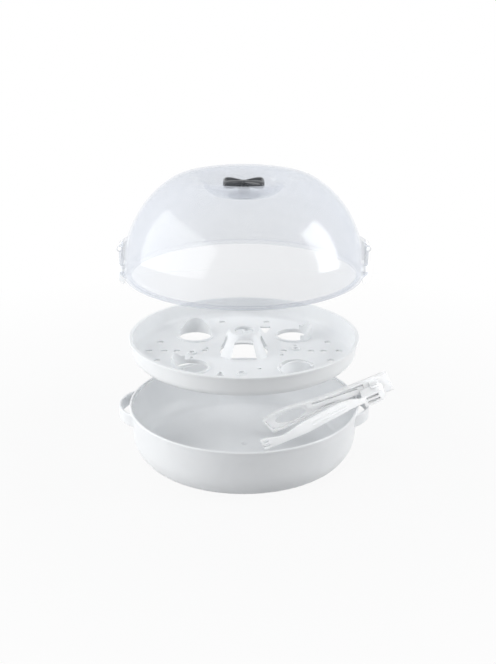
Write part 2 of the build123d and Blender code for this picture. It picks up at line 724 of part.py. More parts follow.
def back_arm_outline(margin=0.0):
    """Broad handle, waisted arm and open loop jaw, drawn inside its edge by the margin."""
    length = BACK_ARM_LENGTH - 2 * margin
    top_edge = edge_stations(BACK_ARM_TOP_EDGE, length)
    top = Spline(*[(u + margin, w - margin) for u, w in top_edge])
    loop_edge = [(u + margin, w + margin) for u, w in edge_stations(BACK_ARM_LOOP_EDGE, length)]
    tip = Line(top @ 1, loop_edge[0])
    rest_w = REST_W + margin
    rest_start = TONGS_REST_U - REST_BEFORE - margin
    rest_end = TONGS_REST_U + REST_AFTER
    bottom = Spline(*loop_edge, (rest_end, rest_w), (rest_start, rest_w))
    heel_w = BACK_ARM_HEEL_W + margin
    heel = Polyline(bottom @ 1, (rest_start - BACK_ARM_HEEL_SLOPE, heel_w), (margin, heel_w), top @ 0)
    return make_face(Curve() + [top, tip, bottom, heel])


def back_arm_spine():
    """Raised middle of the back arm with its long groove."""
    centre_u = SPINE_PLACE * BACK_ARM_LENGTH
    spine = Pos(centre_u, SPINE_W) * Rot(0, 0, SPINE_TURN) * Rectangle(SPINE_LENGTH, SPINE_WIDTH)
    groove = Pos(centre_u, GROOVE_W) * Rot(0, 0, GROOVE_TURN) * SlotOverall(GROOVE_LENGTH, GROOVE_WIDTH)
    return spine - groove


def pin_bore():
    return Pos(PIN_U, PIN_V, 0) * disc(PIN_RADIUS + SLIP / 2, 2 * hinge_low_w, 3 * ROOT_WIDTH)


def hinge_ears():
    """Two ears of the back arm, one each side of the front arm's root."""
    reach = Rectangle(2 * HINGE_EAR_RADIUS, PIN_V - BACK_ARM_HANDLE_V, align=(Align.CENTER, Align.MAX))
    ear = extrude(Pos(PIN_U, PIN_V) * (Circle(HINGE_EAR_RADIUS) + reach), HINGE_EAR)
    return Pos(0, 0, hinge_low_w) * ear + Pos(0, 0, hinge_low_w + hinge_width - HINGE_EAR) * ear


def tongs_back_arm():
    """Channel arm with rails, a dished loop with its hole, and the hinge ears."""
    outline = back_arm_outline()
    plate = upright_cut(outline) & back_arm_strip(-BACK_ARM_PLATE, 0)
    rim = outline - back_arm_outline(BACK_ARM_RAIL_WIDTH)
    pad = Pos(HANDLE_PAD_LENGTH / 2, 0) * Rectangle(HANDLE_PAD_LENGTH, -2 * BACK_ARM_HEEL_W)
    raised = upright_cut(rim + (pad & outline) + (back_arm_spine() & outline))
    raised = raised & back_arm_strip(-BACK_ARM_PLATE, BACK_ARM_RAIL)
    hole = Ellipse(LOOP_HOLE_LENGTH / 2, LOOP_HOLE_WIDTH / 2)
    hole = upright_cut(Pos(LOOP_HOLE_PLACE * BACK_ARM_LENGTH, LOOP_HOLE_W) * hole)
    return tongs_plane() * (plate + raised - hole + hinge_ears() - pin_bore())


def front_arm_outline():
    """Blade from the root's shoulder to the flared tip."""
    top = Spline(*edge_stations(FRONT_ARM_TOP_EDGE, TONGS_LENGTH))
    bottom_edge = edge_stations(FRONT_ARM_BOTTOM_EDGE, TONGS_LENGTH)
    tip = Line(top @ 1, bottom_edge[0])
    rest_start = TONGS_REST_U - REST_BEFORE
    rest_end = TONGS_REST_U + REST_AFTER
    bottom = Spline(*bottom_edge, (rest_end, front_arm_low_w), (rest_start, front_arm_low_w))
    return make_face(Curve() + [top, tip, bottom, Line(bottom @ 1, top @ 0)])


def front_arm_root():
    """Thick rounded root with two open slots, which turns on the pin."""
    block = Rectangle(ROOT_LENGTH, ROOT_WIDTH, align=(Align.MIN, Align.CENTER))
    block = fillet(block.vertices().group_by(Axis.X)[0], ROOT_ROUNDING)
    front = Pos(0, FRONT_ARM_ROOT_V, 0)
    depth = FRONT_ARM_ROOT_V - PIN_V + HINGE_EAR_RADIUS
    root = front * extrude(Plane.XZ * (Pos(root_start_u, ROOT_CENTRE_W) * block), depth)
    slot = SlotOverall(ROOT_SLOT_LENGTH, ROOT_SLOT_WIDTH)
    for offset_w in (-ROOT_SLOT_PITCH / 2, ROOT_SLOT_PITCH / 2):
        place = Pos((root_start_u + root_end_u + ROOT_SLOT_WIDTH) / 2, ROOT_CENTRE_W + offset_w)
        root = root - front * extrude(Plane.XZ * (place * slot), ROOT_SLOT_DEPTH)
    return root


def front_arm_neck():
    """Thick shoulder between the root and the blade."""
    start_u = root_end_u - NECK_OVERLAP
    corners = ((start_u, NECK_TOP_W), (start_u + NECK_LENGTH, NECK_TOP_W))
    corners += ((start_u + NECK_LENGTH, front_arm_low_w), (start_u, front_arm_low_w))
    neck = make_face(Polyline(*corners, close=True))
    return upright_cut(neck) & front_arm_strip(-2 * FRONT_ARM_THICKNESS, 0)


def prong_gaps():
    """Two slots that split the tip into three prongs."""
    gaps = Sketch()
    for side in (-0.5, 0.5):
        gap = SlotOverall(2 * PRONG_LENGTH, PRONG_GAP)
        gaps += Pos(TONGS_LENGTH, PRONG_CENTRE_W + side * PRONG_PITCH) * gap
    return gaps


def grip_ribs():
    """Three long ribs on the outside of the blade."""
    ribs = Sketch()
    for place in (-1, 0, 1):
        rib = Rot(0, 0, RIB_TURN) * SlotOverall(RIB_LENGTH, RIB_WIDTH)
        ribs += Pos(RIB_PLACE * TONGS_LENGTH, RIB_CENTRE_W + place * RIB_PITCH) * rib
    return ribs


def tongs_front_arm():
    """Bowed blade with a three-pronged tip and ribs, joined to its root."""
    blade = upright_cut(front_arm_outline() - prong_gaps()) & front_arm_strip(-FRONT_ARM_THICKNESS, 0)
    ribs = upright_cut(grip_ribs()) & front_arm_strip(-FRONT_ARM_THICKNESS / 2, RIB_HEIGHT)
    return tongs_plane() * (blade + ribs + front_arm_neck() + front_arm_root() - pin_bore())


def tongs_hinge_pin():
    """Headed plastic pin through both hinge ears and the root."""
    high_w = hinge_low_w + hinge_width
    shank = disc(PIN_RADIUS, hinge_low_w, high_w)
    heads = disc(PIN_HEAD_RADIUS, hinge_low_w - PIN_HEAD, hinge_low_w)
    heads += disc(PIN_HEAD_RADIUS, high_w, high_w + PIN_HEAD)
    return tongs_plane() * (Pos(PIN_U, PIN_V, 0) * (shank + heads))


os.makedirs("parts", exist_ok=True)
pieces = {
    "base_bowl": base_bowl(),
    "steam_tray": steam_tray(),
    "lid_dome": lid_dome(),
    "vent_knob": vent_knob(),
    "vent_shutter": vent_shutter(),
    "right_clip": side_clip(),
    "left_clip": Rot(0, 0, 180) * side_clip(),
    "tongs_back_arm": tongs_back_arm(),
    "tongs_front_arm": tongs_front_arm(),
    "tongs_hinge_pin": tongs_hinge_pin(),
}
for name, piece in pieces.items():
    export_step(piece, f"parts/{name}.step")
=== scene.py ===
"""Looks of a microwave bottle sterilizer: pale moulded bowl and tray, cloudy lid with a
winged vent knob, side clips and clear tongs, set out one above the other."""

import math

import bpy
import numpy as np
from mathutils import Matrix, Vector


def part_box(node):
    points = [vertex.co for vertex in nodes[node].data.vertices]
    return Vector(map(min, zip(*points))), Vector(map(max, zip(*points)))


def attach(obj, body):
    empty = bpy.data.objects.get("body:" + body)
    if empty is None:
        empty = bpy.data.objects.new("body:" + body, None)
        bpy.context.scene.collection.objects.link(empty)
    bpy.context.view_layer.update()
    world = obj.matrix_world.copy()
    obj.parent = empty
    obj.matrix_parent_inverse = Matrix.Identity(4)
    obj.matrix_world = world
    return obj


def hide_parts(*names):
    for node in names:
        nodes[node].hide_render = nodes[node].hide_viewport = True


bl_info = {
    "name": "Microwave Bottle Sterilizer",
    "version": (1, 0, 0),
    "blender": (4, 5, 0),
    "location": "View3D > Sidebar > Sterilizer",
    "description": "Dresses the packed bowl, tray, lid, knob, clips and tongs, and sets up the stage",
    "category": "Object",
}

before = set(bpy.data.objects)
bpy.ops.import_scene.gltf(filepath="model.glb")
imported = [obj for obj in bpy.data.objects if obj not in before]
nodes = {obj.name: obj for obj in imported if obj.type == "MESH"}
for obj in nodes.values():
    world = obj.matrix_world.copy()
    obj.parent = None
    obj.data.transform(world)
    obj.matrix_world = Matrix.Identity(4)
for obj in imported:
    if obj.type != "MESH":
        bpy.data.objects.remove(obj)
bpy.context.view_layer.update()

MM = 0.001
FULL_TURN = 2 * math.pi

# A closed grid starts and ends this far from its axis, where a pole point closes it
POLE_RADIUS = 0.5 * MM

# Texture values between which most of a noise lies
WIDE_BAND = (0.3, 0.7)
FLOW_BAND = (0.32, 0.68)

# Faint turned rings that the mould leaves on round pieces
RING_SCALE = 160.0
RING_WOBBLE = 0.4
RING_HEIGHT = 0.002 * MM

# Blue light spreads a little further inside the plastic than red
GLOW_TINT = (1.0, 1.02, 1.05)

# How early a clear wall hides more as it turns edge on
EDGE_BLEND = 0.35

# Form of the knob's wings, where u is 0 at the waist and 1 at a wing's end
WING_THICKNESS = 9.0 * MM
WING_SQUARENESS = 4.5
WING_FULL_WIDTH_AT = 0.86
WING_WIDENING = 1.15
WING_END_POWER = 7
WAIST_THICKNESS = 0.70
WING_FULL_THICKNESS_AT = 0.7
WING_LEAN = 0.06
WING_STATIONS = 121
WING_POINTS = 128

# Where the pocket in a wing begins and ends along the wing, its lip across it, and how far down
# from the top of a cross-section it reaches
POCKET_START = (0.16, 0.34)
POCKET_END = (0.80, 0.90)
POCKET_LIP = (0.24, 0.40)
POCKET_BRINK = (0.5, 1.0)

# Colour of the surroundings as the camera sees them, and of the light that they give
WHITE = (1.0, 1.0, 1.0)
ROOM_TINT = (0.965, 0.98, 1.0)

# The floor: its size in metres, its finish, and the share of plain white that lies over its
# shadow near the object and far from it
FLOOR_HALF_SIZE = 3.0
FLOOR_LINES = 13
FLOOR_ROUGHNESS = 0.9
FLOOR_GLOSS = 0.1
FLOOR_WHITE = (0.92, 1.0)
SHADOW_REACH = (0.25, 0.7)

# The point that the lights face, and the camera's place right of the middle, sensor and range
LIGHTS_AIM = (0.0, 0.0, 0.16)
CAMERA_OFFSET = 4.46 * MM
SENSOR_WIDTH = 36.0
FAR_CLIP = 20.0


# Shapes worked out on grids

def smooth_step(low, high, value):
    """0 below low, 1 above high, and three t squared less two t cubed between them."""
    t = np.clip((value - low) / (high - low), 0.0, 1.0)
    return t * t * (3 - 2 * t)


def rounded_square(power, count):
    """Points of |x|^power + |y|^power = 1, spaced evenly along the curve."""
    angle = np.linspace(0, FULL_TURN, 16 * count + 1)
    x = np.sign(np.cos(angle)) * np.abs(np.cos(angle)) ** (2 / power)
    y = np.sign(np.sin(angle)) * np.abs(np.sin(angle)) ** (2 / power)
    run = np.concatenate(([0], np.cumsum(np.hypot(np.diff(x), np.diff(y)))))
    even = np.linspace(0, run[-1], count, endpoint=False)
    return np.interp(even, run, x), np.interp(even, run, y)


def rings_of_revolution(profile, count):
    """Each profile point (radius, height) swept round Z: x = r cos a, y = r sin a, z = h."""
    angle = np.linspace(0, FULL_TURN, count, endpoint=False)
    radius, height = np.asarray(profile, float).T
    x = radius[:, None] * np.cos(angle)
    y = radius[:, None] * np.sin(angle)
    return np.stack([x, y, np.broadcast_to(height[:, None], x.shape)], axis=2)


def rounded_profile(corners, reach, steps=5):
    """A path of straight runs whose inner corners are quadratic curves that begin at reach from each."""
    p = np.asarray(corners, float)
    back, on = p[:-2] - p[1:-1], p[2:] - p[1:-1]
    lengths = np.linalg.norm(back, axis=1), np.linalg.norm(on, axis=1)
    take = np.minimum(reach, 0.45 * np.minimum(*lengths))[:, None]
    start = p[1:-1] + back / lengths[0][:, None] * take
    end = p[1:-1] + on / lengths[1][:, None] * take
    t = np.linspace(0, 1, steps)[None, :, None]
    bends = (1 - t) ** 2 * start[:, None] + 2 * t * (1 - t) * p[1:-1, None] + t**2 * end[:, None]
    return np.concatenate([p[:1], bends.reshape(-1, 2), p[-1:]])


def closed_grid(rings):
    """Vertices and faces of rings joined in turn, with a pole point at the middle of the first and last."""
    rows, columns = rings.shape[:2]
    points = np.concatenate([rings.reshape(-1, 3), rings[:1].mean(axis=1), rings[-1:].mean(axis=1)])
    index = np.arange(rows * columns).reshape(rows, columns)
    onward = np.roll(index, -1, axis=1)
    quads = np.stack([index[:-1], onward[:-1], onward[1:], index[1:]], axis=2).reshape(-1, 4)
    first = np.stack([onward[0], index[0], np.full(columns, rows * columns)], axis=1)
    last = np.stack([index[-1], onward[-1], np.full(columns, rows * columns + 1)], axis=1)
    return points, [*quads.tolist(), *first.tolist(), *last.tolist()]


def add_piece(name, shells, body, material):
    """One smooth mesh made of closed shells, riding on a body of the frame."""
    points, faces, start = [], [], 0
    for shell_points, shell_faces in shells:
        points.append(shell_points)
        faces += [[start + i for i in face] for face in shell_faces]
        start += len(shell_points)
    mesh = bpy.data.meshes.new(name)
    mesh.from_pydata(np.concatenate(points).tolist(), [], faces)
    mesh.polygons.foreach_set("use_smooth", np.ones(len(mesh.polygons), bool))
    mesh.materials.append(material)
    mesh.validate()
    mesh.update()
    piece = bpy.data.objects.new(name, mesh)
    bpy.context.scene.collection.objects.link(piece)
    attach(piece, body)
    return piece


def gate_mark_profile(floor):
    """Half section of the gate mark on the bowl's floor: a low ring, a moat and the nib in its middle."""
    pole = 0.2 * MM
    nib_radius = 1.2 * MM
    moat_inner = 1.7 * MM
    moat_outer = 2.3 * MM
    ring_inner = 2.8 * MM
    ring_outer = 3.4 * MM
    ring_foot = 3.6 * MM
    sunk = floor - 0.2 * MM
    moat = floor + 0.05 * MM
    ring_top = floor + 0.3 * MM
    nib_edge = floor + 1.2 * MM
    nib_top = floor + 1.3 * MM
    corners = [
        (pole, sunk), (ring_foot, sunk), (ring_outer, ring_top), (ring_inner, ring_top),
        (moat_outer, moat), (moat_inner, moat), (nib_radius, nib_edge), (pole, nib_top),
    ]
    return rounded_profile(corners, 0.15 * MM)


def knob_hub_profile(low, high):
    """Half section of the knob's lower part: snap head, groove, stem, and the hub under the wings."""
    snap_radius = 4.4 * MM
    groove_radius = 3.0 * MM
    stem_radius = 4.0 * MM
    hub_foot = 7.6 * MM
    hub_shoulder = 7.0 * MM
    hub_crown = 6.6 * MM
    snap_top = low + 1.8 * MM
    groove_top = low + 3.4 * MM
    stem_top = low + 5.8 * MM
    shoulder = low + 8.0 * MM
    crown = high - 5.0 * MM
    corners = [
        (POLE_RADIUS, low), (snap_radius, low), (snap_radius, snap_top), (groove_radius, snap_top),
        (groove_radius, groove_top), (stem_radius, groove_top), (stem_radius, stem_top),
        (hub_foot, stem_top), (hub_shoulder, shoulder), (hub_crown, crown), (POLE_RADIUS, crown),
    ]
    return rounded_profile(corners, 0.4 * MM)


def knob_cap_profile(high):
    """Half section of the round boss that fills the waist between the wings."""
    boss_radius = 4.4 * MM
    crest_radius = 2.6 * MM
    foot = high - 6.0 * MM
    edge = high - 2.4 * MM
    crest = high - 1.3 * MM
    corners = [
        (POLE_RADIUS, foot), (boss_radius, foot), (boss_radius, edge),
        (crest_radius, crest), (POLE_RADIUS, crest),
    ]
    return rounded_profile(corners, 1.0 * MM)


def knob_wings(low, high, wing, waist, pocket):
    """Two wings that meet in a narrow waist. Along X, u runs from -1 to 1: half the width grows
    from the waist to the wing's end as a power of |u|, and a power curve rounds the end. Each
    cross-section is a rounded square whose top sinks into a three-sided pocket inside its lip,
    and leans towards the front."""
    half_length = (high[0] - low[0]) / 2
    half_width = wing / 2
    half_thickness = WING_THICKNESS / 2
    stations = np.sin(np.linspace(-1, 1, WING_STATIONS) * math.pi / 2)[1:-1]
    across, upright = rounded_square(WING_SQUARENESS, WING_POINTS)
    reach = np.abs(stations)
    closing = (1 - reach**WING_END_POWER) ** (1 / 3)
    widening = np.minimum(reach / WING_FULL_WIDTH_AT, 1.0) ** WING_WIDENING
    width = (waist + (half_width - waist) * widening) * closing
    thickening = smooth_step(0.0, WING_FULL_THICKNESS_AT, reach)
    depth = half_thickness * (WAIST_THICKNESS + (1 - WAIST_THICKNESS) * thickening) * closing
    x = np.broadcast_to(half_length * stations[:, None], (len(stations), len(across)))
    y = width[:, None] * across
    z = high[2] - half_thickness + depth[:, None] * upright
    along = smooth_step(*POCKET_START, reach) * (1 - smooth_step(*POCKET_END, reach))
    inside = 1 - smooth_step(*POCKET_LIP, np.abs(across))
    z = z - pocket * along[:, None] * inside * smooth_step(*POCKET_BRINK, upright)
    z = z + WING_LEAN * y
    return np.stack([x, y, z], axis=2)


# Materials

def link(tree, node, output, other, socket):
    """Joins an output of one node to a socket of another."""
    tree.links.new(node.outputs[output], other.inputs[socket])


def noise(tree, coords, feature, detail=2.0, roughness=0.5, distortion=0.0):
    """Noise whose patches are about feature metres across: half a metre at a scale of 1."""
    node = tree.nodes.new("ShaderNodeTexNoise")
    node.inputs["Scale"].default_value = 0.5 / feature
    node.inputs["Detail"].default_value = detail
    node.inputs["Roughness"].default_value = roughness
    node.inputs["Distortion"].default_value = distortion
    link(tree, coords, "Object", node, "Vector")
    return node


def spread(tree, source, output, low, high, near, far):
    """Maps a value from near..far, where most of it lies, to low..high."""
    node = tree.nodes.new("ShaderNodeMapRange")
    for socket, value in zip(("From Min", "From Max", "To Min", "To Max"), (near, far, low, high)):
        node.inputs[socket].default_value = value
    link(tree, source, output, node, "Value")
    return node


def combine(tree, operation, *sources):
    """Works out a sum, product or maximum of its sources, each a node with its output, or a number."""
    node = tree.nodes.new("ShaderNodeMath")
    node.operation = operation
    for i, source in enumerate(sources):
        if isinstance(source, tuple):
            link(tree, *source, node, i)
        else:
            node.inputs[i].default_value = source
    return node


def blend_colours(tree, source, output, first, second):
    """Goes from the first colour to the second as the source goes from 0 to 1."""
    node = tree.nodes.new("ShaderNodeMix")
    node.data_type = "RGBA"
    node.inputs["A"].default_value = (*first, 1.0)
    node.inputs["B"].default_value = (*second, 1.0)
    link(tree, source, output, node, "Factor")
    return node


def bump(tree, source, output, height, before=None):
    """Raises the surface by up to height metres where the source is 1."""
    node = tree.nodes.new("ShaderNodeBump")
    node.inputs["Strength"].default_value = 1.0
    node.inputs["Distance"].default_value = height
    link(tree, source, output, node, "Height")
    if before:
        link(tree, before, "Normal", node, "Normal")
    return node


def turned_rings(tree, coords, before):
    """Rings round the Z axis, as a turned mould leaves them, on top of the relief before."""
    wave = tree.nodes.new("ShaderNodeTexWave")
    wave.wave_type = "RINGS"
    wave.rings_direction = "Z"
    wave.inputs["Scale"].default_value = RING_SCALE
    wave.inputs["Distortion"].default_value = RING_WOBBLE
    link(tree, coords, "Object", wave, "Vector")
    return bump(tree, wave, "Fac", RING_HEIGHT, before)


def moulded_plastic(name, looks, rings=False):
    """Moulded plastic: cloudy flow marks in the colour, a fine satin grain in roughness and
    bump, slow ripples as of a cooling wall, and faint turned rings on the round pieces."""
    material = bpy.data.materials.new(name)
    material.use_nodes = True
    tree = material.node_tree
    shader = tree.nodes["Principled BSDF"]
    coords = tree.nodes.new("ShaderNodeTexCoord")

    flow = noise(tree, coords, looks.flow_size, detail=4.0, roughness=0.55, distortion=0.8)
    depth = spread(tree, flow, "Fac", 0.0, 1.0, *FLOW_BAND)
    colour = np.array(looks.colour)
    dark = np.clip(colour * (1 - looks.flow_depth), 0, 1)
    light = np.clip(colour * (1 + looks.flow_depth), 0, 1)
    tone = blend_colours(tree, depth, "Result", dark, light)
    link(tree, tone, "Result", shader, "Base Color")

    grain = noise(tree, coords, looks.grain_size, detail=2.0, roughness=0.6)
    wiped = noise(tree, coords, 0.9 * looks.flow_size, detail=3.0, roughness=0.6)
    swing = looks.roughness_spread
    fine = spread(tree, grain, "Fac", -swing, swing, *WIDE_BAND)
    slow = spread(tree, wiped, "Fac", looks.roughness - swing, looks.roughness + swing, *WIDE_BAND)
    satin = combine(tree, "ADD", (fine, "Result"), (slow, "Result"))
    link(tree, satin, "Value", shader, "Roughness")

    ripple = noise(tree, coords, looks.ripple_size, detail=1.0)
    relief = bump(tree, ripple, "Fac", looks.ripple_height)
    if rings:
        relief = turned_rings(tree, coords, relief)
    relief = bump(tree, grain, "Fac", looks.grain_height, relief)
    link(tree, relief, "Normal", shader, "Normal")

    shader.inputs["IOR"].default_value = looks.ior
    shader.inputs["Specular IOR Level"].default_value = looks.gloss
    shader.inputs["Subsurface Weight"].default_value = looks.glow
    shader.inputs["Subsurface Radius"].default_value = GLOW_TINT
    shader.inputs["Subsurface Scale"].default_value = looks.glow_depth
    return material


def clear_plastic(name, looks):
    """Moulded plastic that lets the view through, less so where a wall is seen edge on."""
    material = moulded_plastic(name, looks)
    tree = material.node_tree
    facing = tree.nodes.new("ShaderNodeLayerWeight")
    facing.inputs["Blend"].default_value = EDGE_BLEND
    cover = spread(tree, facing, "Facing", looks.cover, looks.edge_cover, 0.0, 1.0)
    link(tree, cover, "Result", tree.nodes["Principled BSDF"], "Alpha")
    return material


def dress(node, material):
    """Gives a CAD node's slots the material."""
    slots = nodes[node].data.materials
    for i in range(len(slots)):
        slots[i] = material
    if not slots:
        slots.append(material)


# Settings a user would change

def finish_settings(
    colour, roughness, grain=0.8 * MM, grain_height=0.006 * MM, ripple=0.2 * MM,
    ior=1.49, gloss=0.5, glow=0.0, glow_depth=4 * MM,
):
    """The properties that every plastic here shares."""
    return {
        "colour": bpy.props.FloatVectorProperty(
            name="Colour", description="Colour of the plastic", subtype="COLOR", size=3,
            min=0, max=1, default=colour,
        ),
        "roughness": bpy.props.FloatProperty(
            name="Roughness", description="How matt the surface is", subtype="FACTOR",
            min=0, max=1, default=roughness,
        ),
        "roughness_spread": bpy.props.FloatProperty(
            name="Roughness spread", description="How much the gloss varies",
            min=0, max=0.2, default=0.03,
        ),
        "ior": bpy.props.FloatProperty(
            name="IOR", description="Index of refraction", min=1, max=3, default=ior
        ),
        "gloss": bpy.props.FloatProperty(
            name="Gloss", description="Strength of the mirrored light", subtype="FACTOR",
            min=0, max=1, default=gloss,
        ),
        "glow": bpy.props.FloatProperty(
            name="Glow", description="How much light spreads inside the plastic", subtype="FACTOR",
            min=0, max=1, default=glow,
        ),
        "glow_depth": bpy.props.FloatProperty(
            name="Glow depth", description="How far light spreads inside the plastic",
            subtype="DISTANCE", unit="LENGTH", min=0, max=0.05, default=glow_depth,
        ),
        "flow_size": bpy.props.FloatProperty(
            name="Flow mark size", description="Width of the cloudy flow marks",
            subtype="DISTANCE", unit="LENGTH", min=1 * MM, max=200 * MM, default=28 * MM,
        ),
        "flow_depth": bpy.props.FloatProperty(
            name="Flow mark depth", description="How far flow marks change the colour",
            min=0, max=0.3, default=0.02,
        ),
        "grain_size": bpy.props.FloatProperty(
            name="Grain size", description="Width of the satin grain",
            subtype="DISTANCE", unit="LENGTH", min=0.1 * MM, max=10 * MM, default=grain,
        ),
        "grain_height": bpy.props.FloatProperty(
            name="Grain height", description="Height of the satin grain",
            subtype="DISTANCE", unit="LENGTH", min=0, max=1 * MM, default=grain_height,
        ),
        "ripple_size": bpy.props.FloatProperty(
            name="Ripple size", description="Width of the slow ripples",
            subtype="DISTANCE", unit="LENGTH", min=5 * MM, max=200 * MM, default=30 * MM,
        ),
        "ripple_height": bpy.props.FloatProperty(
            name="Ripple height", description="Height of the slow ripples",
            subtype="DISTANCE", unit="LENGTH", min=0, max=2 * MM, default=ripple,
        ),
    }


def clear_settings(cover, edge_cover):
    """The further properties of a plastic that lets the view through."""
    return {
        "cover": bpy.props.FloatProperty(
            name="Cover", description="Share of the view that one wall hides, seen square on",
            subtype="FACTOR", min=0, max=1, default=cover,
        ),
        "edge_cover": bpy.props.FloatProperty(
            name="Edge cover", description="Share of the view that one wall hides, seen edge on",
            subtype="FACTOR", min=0, max=1, default=edge_cover,
        ),
    }


class BowlLooks(bpy.types.PropertyGroup):
    """Looks of the base bowl and the level of its floor."""
    __annotations__ = {
        **finish_settings((0.89, 0.905, 0.92), 0.34, grain_height=0.004 * MM, glow=0.25),
        "floor_height": bpy.props.FloatProperty(
            name="Floor height", description="Top of the bowl's floor",
            subtype="DISTANCE", unit="LENGTH", min=0, max=10 * MM, default=3 * MM,
        ),
    }


class TrayLooks(bpy.types.PropertyGroup):
    """Looks of the steam tray."""
    __annotations__ = finish_settings((0.87, 0.885, 0.895), 0.36, grain_height=0.004 * MM, glow=0.3)


class LidLooks(bpy.types.PropertyGroup):
    """Looks of the lid."""
    __annotations__ = {
        **finish_settings(
            (0.75, 0.79, 0.86), 0.15, grain_height=0.003 * MM, ripple=0.3 * MM, ior=1.75, gloss=0.8
        ),
        **clear_settings(0.18, 0.45),
    }


class KnobLooks(bpy.types.PropertyGroup):
    """Looks and sizes of the vent knob and its shutter."""
    __annotations__ = {
        **finish_settings(
            (0.03, 0.033, 0.038), 0.12, grain=0.5 * MM, grain_height=0.003 * MM, ripple=0.05 * MM, gloss=0.9
        ),
        "wing": bpy.props.FloatProperty(
            name="Wing", description="Width of a wing at its end",
            subtype="DISTANCE", unit="LENGTH", min=10 * MM, max=40 * MM, default=30 * MM,
        ),
        "waist": bpy.props.FloatProperty(
            name="Waist", description="Half width where the wings meet",
            subtype="DISTANCE", unit="LENGTH", min=2 * MM, max=10 * MM, default=3.2 * MM,
        ),
        "pocket": bpy.props.FloatProperty(
            name="Pocket", description="Depth of the hollow in each wing",
            subtype="DISTANCE", unit="LENGTH", min=0, max=8 * MM, default=6.4 * MM,
        ),
    }


class ClipLooks(bpy.types.PropertyGroup):
    """Looks of the two side clips."""
    __annotations__ = finish_settings((0.92, 0.93, 0.94), 0.28, glow=0.5)


class TongsLooks(bpy.types.PropertyGroup):
    """Looks of the tongs."""
    __annotations__ = {
        **finish_settings((0.965, 0.972, 0.985), 0.16, ripple=0.15 * MM, glow=0.6, glow_depth=6 * MM),
        **clear_settings(0.86, 1.0),
    }


class StageLooks(bpy.types.PropertyGroup):
    """Light, floor and camera."""
    ambient: bpy.props.FloatProperty(
        name="Ambient", description="Light from all round", subtype="FACTOR", min=0, max=1, default=0.21
    )
    reflected: bpy.props.FloatProperty(
        name="Reflected", description="Backdrop level that glossy surfaces show", subtype="FACTOR",
        min=0, max=1, default=0.85,
    )
    key_power: bpy.props.FloatProperty(
        name="Key light", description="Power of the large light on the left",
        subtype="POWER", unit="POWER", min=0, max=500, default=31.0,
    )
    side_power: bpy.props.FloatProperty(
        name="Side light", description="Power of the light on the right",
        subtype="POWER", unit="POWER", min=0, max=500, default=15.0,
    )
    top_power: bpy.props.FloatProperty(
        name="Top light", description="Power of the light overhead",
        subtype="POWER", unit="POWER", min=0, max=500, default=11.5,
    )
    fill_power: bpy.props.FloatProperty(
        name="Fill light", description="Power of the light on the tongs and clips alone",
        subtype="POWER", unit="POWER", min=0, max=500, default=15.5,
    )
    floor_colour: bpy.props.FloatVectorProperty(
        name="Floor", description="Colour of the floor", subtype="COLOR", size=3,
        min=0, max=1, default=(0.50, 0.505, 0.51),
    )
    camera_height: bpy.props.FloatProperty(
        name="Camera height", description="Height of the camera above the floor",
        subtype="DISTANCE", unit="LENGTH", min=0.1, max=3, default=0.5312,
    )
    camera_distance: bpy.props.FloatProperty(
        name="Camera distance", description="How far the camera stands in front",
        subtype="DISTANCE", unit="LENGTH", min=0.3, max=5, default=1.0429,
    )
    camera_pitch: bpy.props.FloatProperty(
        name="Camera pitch", description="How far the camera looks down",
        subtype="ANGLE", unit="ROTATION", min=0, max=math.pi / 2, default=math.radians(20.52),
    )
    lens: bpy.props.FloatProperty(
        name="Lens", description="Focal length in millimetres", min=20, max=200, default=54.22
    )


class SterilizerLooks(bpy.types.PropertyGroup):
    """All settings, one group for each piece."""
    bowl: bpy.props.PointerProperty(name="Bowl", description="Base bowl", type=BowlLooks)
    tray: bpy.props.PointerProperty(name="Tray", description="Steam tray", type=TrayLooks)
    lid: bpy.props.PointerProperty(name="Lid", description="Domed lid", type=LidLooks)
    knob: bpy.props.PointerProperty(name="Knob", description="Vent knob and shutter", type=KnobLooks)
    clips: bpy.props.PointerProperty(name="Clips", description="Side clips", type=ClipLooks)
    tongs: bpy.props.PointerProperty(name="Tongs", description="Tongs", type=TongsLooks)
    stage: bpy.props.PointerProperty(name="Stage", description="Light, floor and camera", type=StageLooks)


# Stage

def seen_rays(tree):
    """Light Path, and a value that is 1 for camera rays and for rays passed on through clear pieces."""
    path = tree.nodes.new("ShaderNodeLightPath")
    seen = combine(tree, "MAXIMUM", (path, "Is Camera Ray"), (path, "Is Transmission Ray"))
    return path, seen


def white_room(looks):
    """A world that the camera sees white and gloss almost so, and that lights the object far less."""
    world = bpy.data.worlds.new("white_room")
    world.use_nodes = True
    tree = world.node_tree
    room = tree.nodes["Background"]
    path, seen = seen_rays(tree)
    mirrored = combine(tree, "MULTIPLY", (path, "Is Glossy Ray"), looks.reflected)
    bright = combine(tree, "MAXIMUM", (seen, "Value"), (mirrored, "Value"))
    level = combine(tree, "MAXIMUM", (bright, "Value"), looks.ambient)
    tint = blend_colours(tree, seen, "Value", ROOM_TINT, WHITE)
    link(tree, level, "Value", room, "Strength")
    link(tree, tint, "Result", room, "Color")
    return world


